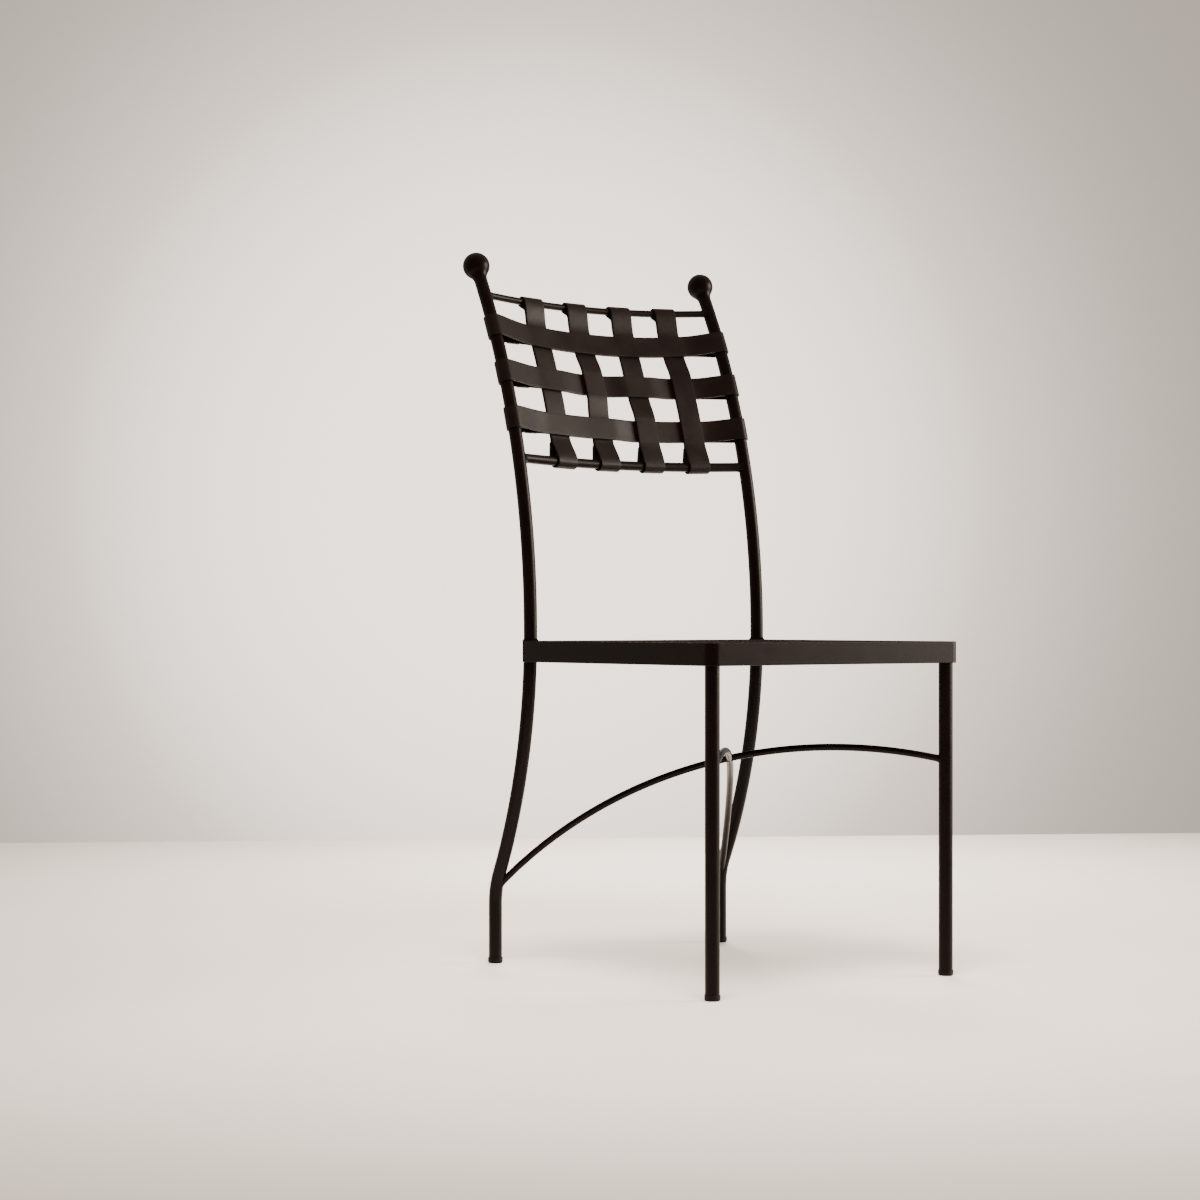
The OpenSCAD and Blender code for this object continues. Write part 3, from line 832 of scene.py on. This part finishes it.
def weld_bead(end, along, tube_r, rod_r, rod):
    """The weld where a rod, which leaves its end along a line, meets a tube."""
    start = tube_r * WELD_START
    profile = flared(rod_r - WELD_SINK, rod.flare, tube_r - start + rod.weld_run)
    return turned("bead", end, along, [(start + height, radius) for height, radius in profile])


def hand_over_pair(pieces, node, words):
    """Hands over two painted frame pieces, whose nodes' names end in different words."""
    for piece, word in zip(pieces, words):
        hand_over(piece, material_of("paint"), "frame", node + word)


class CHAIR_OT_rear_posts(bpy.types.Operator):
    """Bends the two rear posts from one tube each"""
    bl_idname = "chair.rear_posts"
    bl_label = "Rear posts"

    def execute(self, context):
        s = context.scene.chair_frame
        foot_y = waist_y(s) + s.splay
        foot_turn, lower_r = post_curve(s)
        x = -s.half_span
        across = (1, 0, 0)
        post = start_ring("post_left", (x, foot_y, s.glide_h), (0, 0, 1), s.post_d / 2)
        pull((0, 0, s.foot_h - s.glide_h))
        bend((x, foot_y - s.foot_bend_r, s.foot_h), across, foot_turn, FOOT_STEPS)
        bend((x, waist_y(s) + lower_r, waist_low(s)), across, -foot_turn, LOWER_CURVE_STEPS)
        pull((0, 0, s.waist_run))
        bend((x, waist_y(s) + s.upper_r, waist_high(s)), across, -s.upper_lean, UPPER_CURVE_STEPS)
        close(post)
        twin = copied(post, "post_right", (2 * s.half_span, 0, 0))
        hand_over_pair((post, twin), "rear_post_", HANDS)
        return {"FINISHED"}


class CHAIR_OT_finials(bpy.types.Operator):
    """Turns the two ball finials with their hollow necks"""
    bl_idname = "chair.finials"
    bl_label = "Ball finials"

    def execute(self, context):
        s = context.scene.chair_frame
        post_r, ball_r = s.post_d / 2, s.ball_d / 2
        drop = math.sqrt((ball_r + s.neck_r) ** 2 - (post_r + s.neck_r) ** 2)
        blend = math.atan2(drop, post_r + s.neck_r)
        neck = [(s.ball_rise - drop + s.neck_r * math.sin(t),
                 post_r + s.neck_r - s.neck_r * math.cos(t))
                for t in (blend * k / NECK_STEPS for k in range(NECK_STEPS + 1))]
        ball = [(s.ball_rise + ball_r * math.sin(t), ball_r * math.cos(t))
                for t in (-blend + (math.pi / 2 + blend) * k / BALL_STEPS
                          for k in range(1, BALL_STEPS))]
        ball.append((s.ball_rise + ball_r, ball_r * TIP_SHARE))
        lean = s.upper_lean
        along = Vector((0, math.sin(lean), math.cos(lean)))
        end = Vector((-s.half_span, waist_y(s) + s.upper_r * (1 - math.cos(lean)),
                      waist_high(s) + s.upper_r * math.sin(lean)))
        finial = turned("ball_left", end, along, neck + ball, BALL_SIDES)
        twin = copied(finial, "ball_right", (2 * s.half_span, 0, 0))
        hand_over_pair((finial, twin), "finial_", HANDS)
        return {"FINISHED"}


class CHAIR_OT_front_legs(bpy.types.Operator):
    """Draws the two straight front legs"""
    bl_idname = "chair.front_legs"
    bl_label = "Front legs"

    def execute(self, context):
        s, seat = context.scene.chair_frame, context.scene.chair_seat
        leg_h = seat.seat_h - seat.sheet_t - s.glide_h
        leg = turned("leg_left", (-s.half_span, LEG_MIDDLE.y, s.glide_h), (0, 0, 1),
                     [(0, s.leg_d / 2), (leg_h, s.leg_d / 2)])
        twin = copied(leg, "leg_right", (2 * s.half_span, 0, 0))
        hand_over_pair((leg, twin), "front_leg_", HANDS)
        return {"FINISHED"}


class CHAIR_OT_glides(bpy.types.Operator):
    """Turns one foot glide and sets a copy under each leg"""
    bl_idname = "chair.glides"
    bl_label = "Foot glides"

    def execute(self, context):
        s = context.scene.chair_frame
        radius = s.glide_d / 2
        edge = s.glide_h * GLIDE_ROUND
        profile = [(0, radius - edge)]
        profile += [(edge - edge * math.cos(t), radius - edge + edge * math.sin(t))
                    for t in (math.pi / 2 * k / GLIDE_STEPS for k in range(1, GLIDE_STEPS + 1))]
        profile += [(s.glide_h - s.glide_rim, radius), (s.glide_h, radius - s.glide_rim)]
        glide = turned("foot_front_left", (-s.half_span, LEG_MIDDLE.y, 0), (0, 0, 1), profile)
        across, back = 2 * s.half_span, s.reach + s.splay
        moves = {"front_right": (across, 0, 0), "rear_left": (0, back, 0),
                 "rear_right": (across, back, 0)}
        feet = {"front_left": glide}
        for corner, move in moves.items():
            feet[corner] = copied(glide, "foot_" + corner, move)
        for corner, piece in feet.items():
            hand_over(piece, material_of("glide"), "glide", "glide_" + corner)
        return {"FINISHED"}


def corner_r(s):
    """Radius of the outside of the seat's corners, about the legs' middles."""
    return BAND_HIGH.x - s.half_span


def seat_band(s, seat):
    """The bar bent round the front and both sides."""
    mid_r = corner_r(s) - seat.band_t / 2
    mid_z = seat.seat_h - seat.band_h / 2
    side_run = waist_y(s) - LEG_MIDDLE.y
    band = start_section("band", (-s.half_span - mid_r, waist_y(s), mid_z),
                         seat.band_t, seat.band_h, (math.pi / 2, 0, 0))
    pull((0, -side_run, 0))
    bend((-s.half_span, LEG_MIDDLE.y, mid_z), (0, 0, 1), math.pi / 2, CORNER_STEPS)
    pull((2 * s.half_span, 0, 0))
    bend((s.half_span, LEG_MIDDLE.y, mid_z), (0, 0, 1), math.pi / 2, CORNER_STEPS)
    pull((0, side_run, 0))
    close(band)
    soften(band, seat.band_edge)
    return band


def block(name, centre, sides):
    """A box of the given sides."""
    clear_selection()
    bpy.ops.mesh.primitive_cube_add(size=1, location=centre)
    return named(name, sides)


def cut_for_posts(piece, s, seat, gap):
    """Makes room in a seat piece for both posts."""
    radius = s.post_d / 2 + gap
    for side in (-1, 1):
        low = (side * s.half_span, waist_y(s), seat.seat_h - 2 * seat.band_h)
        cut(piece, turned("cutter", low, (0, 0, 1), [(0, radius), (3 * seat.band_h, radius)]))


def round_front_corners(sheet, radius, thickness):
    """Rounds the upright edges at the front of the sheet."""
    unselect_all("EDGE")
    for edge in sheet.data.edges:
        a, b = (sheet.data.vertices[v].co for v in edge.vertices)
        edge.select = abs(a.z - b.z) > thickness / 2 and a.y < 0
    bpy.ops.object.mode_set(mode="EDIT")
    bpy.ops.mesh.bevel(offset=radius, segments=SHEET_CORNER_STEPS, affect="EDGES")
    bpy.ops.mesh.select_mode(type="VERT")
    bpy.ops.object.mode_set(mode="OBJECT")


class CHAIR_OT_seat(bpy.types.Operator):
    """Bends the bar round the seat, adds the rear bar and lays the sheet"""
    bl_idname = "chair.seat"
    bl_label = "Seat"

    def execute(self, context):
        s, seat = context.scene.chair_frame, context.scene.chair_seat
        post_r = s.post_d / 2
        back_y = waist_y(s) + post_r
        hand_over(seat_band(s, seat), material_of("paint"), "seat", "seat_band")

        rear_bar = block("rear_bar", (0, back_y - seat.band_t / 2, seat.seat_h - seat.band_h / 2),
                         (2 * s.half_span, seat.band_t, seat.band_h))
        cut_for_posts(rear_bar, s, seat, 0)
        soften(rear_bar, seat.bar_edge, BAR_SHARP)
        hand_over(rear_bar, material_of("paint"), "seat", "rear_seat_rail")

        inner_r = corner_r(s) - seat.band_t - seat.gap
        front_y = LEG_MIDDLE.y - inner_r
        end_y = back_y - seat.band_t - seat.gap
        sheet = block("sheet", (0, (front_y + end_y) / 2, seat.seat_h - seat.sheet_t / 2),
                      (2 * (s.half_span + inner_r), end_y - front_y, seat.sheet_t))
        round_front_corners(sheet, inner_r, seat.sheet_t)
        cut_for_posts(sheet, s, seat, seat.gap)
        soften(sheet, seat.sheet_edge, BAR_SHARP)
        bead = turned("bead", (-s.half_span, waist_y(s), seat.seat_h - seat.weld_sink), (0, 0, 1),
                      flared(post_r - WELD_SINK, seat.weld_flare, seat.weld_h))
        twin = copied(bead, "bead_twin", (2 * s.half_span, 0, 0))
        hand_over(join([sheet, bead, twin], "sheet"), material_of("matt"), "seat", "seat_deck")
        return {"FINISHED"}


class CHAIR_OT_back_rails(bpy.types.Operator):
    """Bends the two rails of the back"""
    bl_idname = "chair.back_rails"
    bl_label = "Back rails"

    def execute(self, context):
        s, b, rod = context.scene.chair_frame, context.scene.chair_back, context.scene.chair_rods
        radius = bow_radius(s, b)
        sweep = math.asin(s.half_span / radius)
        along = Vector((math.cos(sweep), math.sin(sweep), 0))
        end = Vector((-s.half_span, 0, 0))
        for word, lean, diameter in (("top", b.upper_rail_lean, b.upper_rail_d),
                                     ("bottom", b.lower_rail_lean, b.lower_rail_d)):
            piece = start_ring("rail_" + word, end, along, diameter / 2)
            bend((0, b.bow - radius, 0), (0, 0, 1), -2 * sweep, RAIL_STEPS)
            close(piece)
            bead = weld_bead(end, along, s.post_d / 2, diameter / 2, rod)
            piece = join([piece, bead, mirrored(bead, "bead_twin")], "rail_" + word)
            settle(piece, back_matrix(s, lean))
            hand_over(piece, material_of("paint"), "frame", "back_" + word + "_rail")
        return {"FINISHED"}


class CHAIR_OT_stretchers(bpy.types.Operator):
    """Bends the two arched rods that cross under the seat"""
    bl_idname = "chair.stretchers"
    bl_label = "Crossed stretchers"

    def execute(self, context):
        s, rod = context.scene.chair_frame, context.scene.chair_rods
        rear_y = post_depth(s, rod.rear_h)
        plan = math.hypot(2 * s.half_span, rear_y)
        climb = rod.front_h - rod.rear_h
        chord = math.hypot(plan, climb)
        radius = ((chord / 2) ** 2 + rod.rise ** 2) / (2 * rod.rise)
        sweep = math.asin(chord / 2 / radius)
        along = Vector((math.cos(sweep), 0, math.sin(sweep)))

        def bent_rod(name, section_r):
            piece = start_ring(name, (0, 0, 0), along, section_r)
            bend((chord / 2, 0, rod.rise - radius), (0, 1, 0), 2 * sweep, ROD_STEPS)
            return close(piece)

        def from_post(side):
            return (Matrix.Translation((side * s.half_span, LEG_MIDDLE.y + rear_y, rod.rear_h))
                    @ Matrix.Rotation(math.atan2(-rear_y, -side * 2 * s.half_span), 4, "Z")
                    @ Matrix.Rotation(-math.atan2(climb, plan), 4, "Y")
                    @ Matrix.Rotation(-side * rod.lean, 4, "X"))

        rod_r = rod.rod_d / 2
        arch = bent_rod("rod_whole", rod_r)
        rear_bead = weld_bead((0, 0, 0), along, s.post_d / 2, rod_r, rod)
        toward_rear = Vector((-along.x, 0, along.z))
        front_bead = weld_bead((chord, 0, 0), toward_rear, s.leg_d / 2, rod_r, rod)
        whole = join([arch, rear_bead, front_bead], "rod_whole")
        halved = copied(whole, "rod_halved")
        settle(whole, from_post(-1))
        settle(halved, from_post(1))
        cutter = bent_rod("cutter", rod_r + rod.weld_gap)
        settle(cutter, from_post(-1))
        cut(halved, cutter)
        shade()
        hand_over_pair((whole, halved), "stretcher_", ("whole", "halved"))
        return {"FINISHED"}


def ribbon(name, line, width, across, closed, lift=None):
    """A thin sheet drawn along a flat line. across is the axis of its width, and
    lift gives the height of a level strap at a place across the chair."""
    clear_selection()
    turn = (0, math.pi / 2, 0) if across == "Z" else (0, 0, 0)
    bpy.ops.mesh.primitive_grid_add(x_subdivisions=STRAP_COLUMNS, y_subdivisions=1, size=1,
                                    rotation=turn)
    piece = named(name, (width, 1, 1))
    unselect_all("VERT")
    for vertex in piece.data.vertices:
        vertex.select = vertex.co.y > 0
    bpy.ops.object.mode_set(mode="EDIT")
    bpy.ops.mesh.delete(type="VERT")
    bpy.ops.mesh.select_all(action="SELECT")
    if across == "Z":
        points = [Vector((p.x, p.y, lift(p.x))) for p in line]
    else:
        points = [Vector((0, p.x, p.y)) for p in line]
    # The row that is left stands half a unit off the middle of the grid
    bpy.ops.transform.translate(value=points[0] + Vector((0, 0.5, 0)))
    if closed:
        points.append(points[0])
    for before, after in zip(points, points[1:]):
        pull(after - before)
    bpy.ops.mesh.select_all(action="SELECT")
    bpy.ops.mesh.remove_doubles(threshold=SAME_STRAP_POINT)
    bpy.ops.mesh.normals_make_consistent(inside=False)
    bpy.ops.object.mode_set(mode="OBJECT")
    return piece


def strap(name, line, lap, width, across, b, lift=None):
    """A strap: its closed loop, and the short second layer where its ends lap."""
    loop = ribbon(name, line, width, across, True, lift)
    points = [lap[0]] + run(*lap) + [lap[2]]
    mid = len(points) // 2
    along = (points[mid + 1] - points[mid - 1]).normalized()
    out = Vector((-along.y, along.x))
    centre = points[mid] + out * (b.strap_t + b.lap_gap)
    half = along * b.lap / 2
    flap_line = [centre - half, centre, centre + half]
    flap = ribbon(name + "_lap", flap_line, width, across, False, lift)
    for piece in (loop, flap):
        pick(piece)
        bpy.ops.object.modifier_add(type="SOLIDIFY")
        wall = piece.modifiers[-1]
        wall.thickness = b.strap_t
        wall.offset = 0
        wall.use_even_offset = True
        apply_modifiers(piece)
        soften(piece, b.strap_edge, STRAP_SHARP)
    return join([loop, flap], name)


class CHAIR_OT_upright_straps(bpy.types.Operator):
    """Lays the four upright straps round both rails"""
    bl_idname = "chair.upright_straps"
    bl_label = "Upright straps"

    def execute(self, context):
        s, b = context.scene.chair_frame, context.scene.chair_back
        mid = (b.upper_rail_lean + b.lower_rail_lean) / 2
        for col in range(len(WEAVE[0])):
            line, lap = upright_line(s, b, col)
            piece = strap("strap_upright_%d" % (col + 1), line, lap, b.upright_w, "X", b)
            x = upright_x(b, col)
            bow = bow_at(s, b, x)
            settle(piece, back_matrix(s, mid) @ Matrix.Translation((x, bow, 0))
                   @ Matrix.Rotation(bow_turn(s, b, x), 4, "Z") @ Matrix.Translation((0, -bow, 0)))
            hand_over(piece, material_of("leather"), "strap", "upright_strap_%d" % (col + 1))
        return {"FINISHED"}


class CHAIR_OT_level_straps(bpy.types.Operator):
    """Lays the three level straps round both posts, through the upright ones"""
    bl_idname = "chair.level_straps"
    bl_label = "Level straps"

    def execute(self, context):
        s, b = context.scene.chair_frame, context.scene.chair_back
        for row, sag in enumerate(LEVEL_SAGS):
            def lift(x):
                return sag * (min(abs(x / s.half_span), 1) ** 2 - SAG_BELOW)

            line, lap = level_line(s, b, row)
            piece = strap("strap_level_%d" % (row + 1), line, lap, b.level_w, "Z", b, lift)
            settle(piece, back_matrix(s, level_lean(b, row)))
            hand_over(piece, material_of("leather"), "strap", "level_strap_%d" % (row + 1))
        return {"FINISHED"}


class CHAIR_OT_stage(bpy.types.Operator):
    """Lays the floor, and sets the lights and the camera"""
    bl_idname = "chair.stage"
    bl_label = "Stage"

    def execute(self, context):
        stage, finish = context.scene.chair_stage, context.scene.chair_finishes
        clear_selection()
        bpy.ops.mesh.primitive_plane_add(size=2 * stage.floor_half,
                                         rotation=(0, 0, stage.floor_turn))
        floor = named("floor")
        floor.data.materials.append(material_of("floor"))

        context.scene.world = pale_room(finish, stage)

        for lamp in LAMPS:
            clear_selection()
            toward = Vector(lamp.aim) - Vector(lamp.place)
            bpy.ops.object.light_add(type="AREA", location=lamp.place,
                                     rotation=toward.to_track_quat("-Z", "Y").to_euler())
            light = context.object
            light.name = lamp.name + "_light"
            light.data.size = lamp.size
            light.data.energy = lamp.power
            light.data.spread = math.radians(lamp.spread)
            light.data.color = finish.wall
            light.visible_glossy = lamp.glossy

        clear_selection()
        bpy.ops.object.camera_add(location=(stage.camera_x, stage.camera_y, stage.camera_h),
                                  rotation=(math.pi / 2, 0, stage.camera_turn))
        camera = context.object
        camera.data.lens = stage.lens
        camera.data.sensor_width = FILM_WIDTH
        camera.data.shift_y = stage.lift
        camera.data.clip_end = SIGHT
        context.scene.camera = camera
        return {"FINISHED"}


class CHAIR_OT_cad_finish(bpy.types.Operator):
    """Gives the solids that still show their materials"""
    bl_idname = "chair.cad_finish"
    bl_label = "Finish of the solids"

    def execute(self, context):
        kinds = {"frame": "paint", "seat": "paint", "strap": "leather",
                 "glide": "glide", "rivet": "rivet"}
        slots = {part["node"]: part["material_slot"] for part in frame["record"]["subparts"]}
        for name, node in frame["nodes"].items():
            node.data.materials.clear()
            node.data.materials.append(material_of(kinds[slots[name]]))
        return {"FINISHED"}


class CHAIR_PT_panel(bpy.types.Panel):
    """Lists the steps that build the chair, and its sizes and colours"""
    bl_label = "Side chair"
    bl_idname = "CHAIR_PT_panel"
    bl_space_type = "VIEW_3D"
    bl_region_type = "UI"
    bl_category = "Chair"

    def draw(self, context):
        for step in STEPS:
            self.layout.operator(step.bl_idname, text=step.bl_label)
        for name, group in GROUPS.items():
            box = self.layout.box()
            box.label(text=group.__doc__)
            for value in group.__annotations__:
                box.prop(getattr(context.scene, name), value)


STEPS = (CHAIR_OT_cad_finish, CHAIR_OT_rear_posts, CHAIR_OT_finials, CHAIR_OT_front_legs,
         CHAIR_OT_glides, CHAIR_OT_seat, CHAIR_OT_back_rails, CHAIR_OT_stretchers,
         CHAIR_OT_upright_straps, CHAIR_OT_level_straps, CHAIR_OT_stage)
GROUPS = {"chair_frame": FrameSizes, "chair_seat": SeatSizes, "chair_back": BackSizes,
          "chair_rods": RodSizes, "chair_finishes": Finishes, "chair_stage": StageSizes}


def register():
    for item in (*GROUPS.values(), *STEPS, CHAIR_PT_panel):
        bpy.utils.register_class(item)
    for name, group in GROUPS.items():
        setattr(bpy.types.Scene, name, PointerProperty(type=group))


def unregister():
    for name in GROUPS:
        delattr(bpy.types.Scene, name)
    for item in reversed((*GROUPS.values(), *STEPS, CHAIR_PT_panel)):
        bpy.utils.unregister_class(item)


def main():
    register()
    for step in STEPS:
        group, name = step.bl_idname.split(".")
        getattr(getattr(bpy.ops, group), name)()


if __name__ == "__main__":
    main()
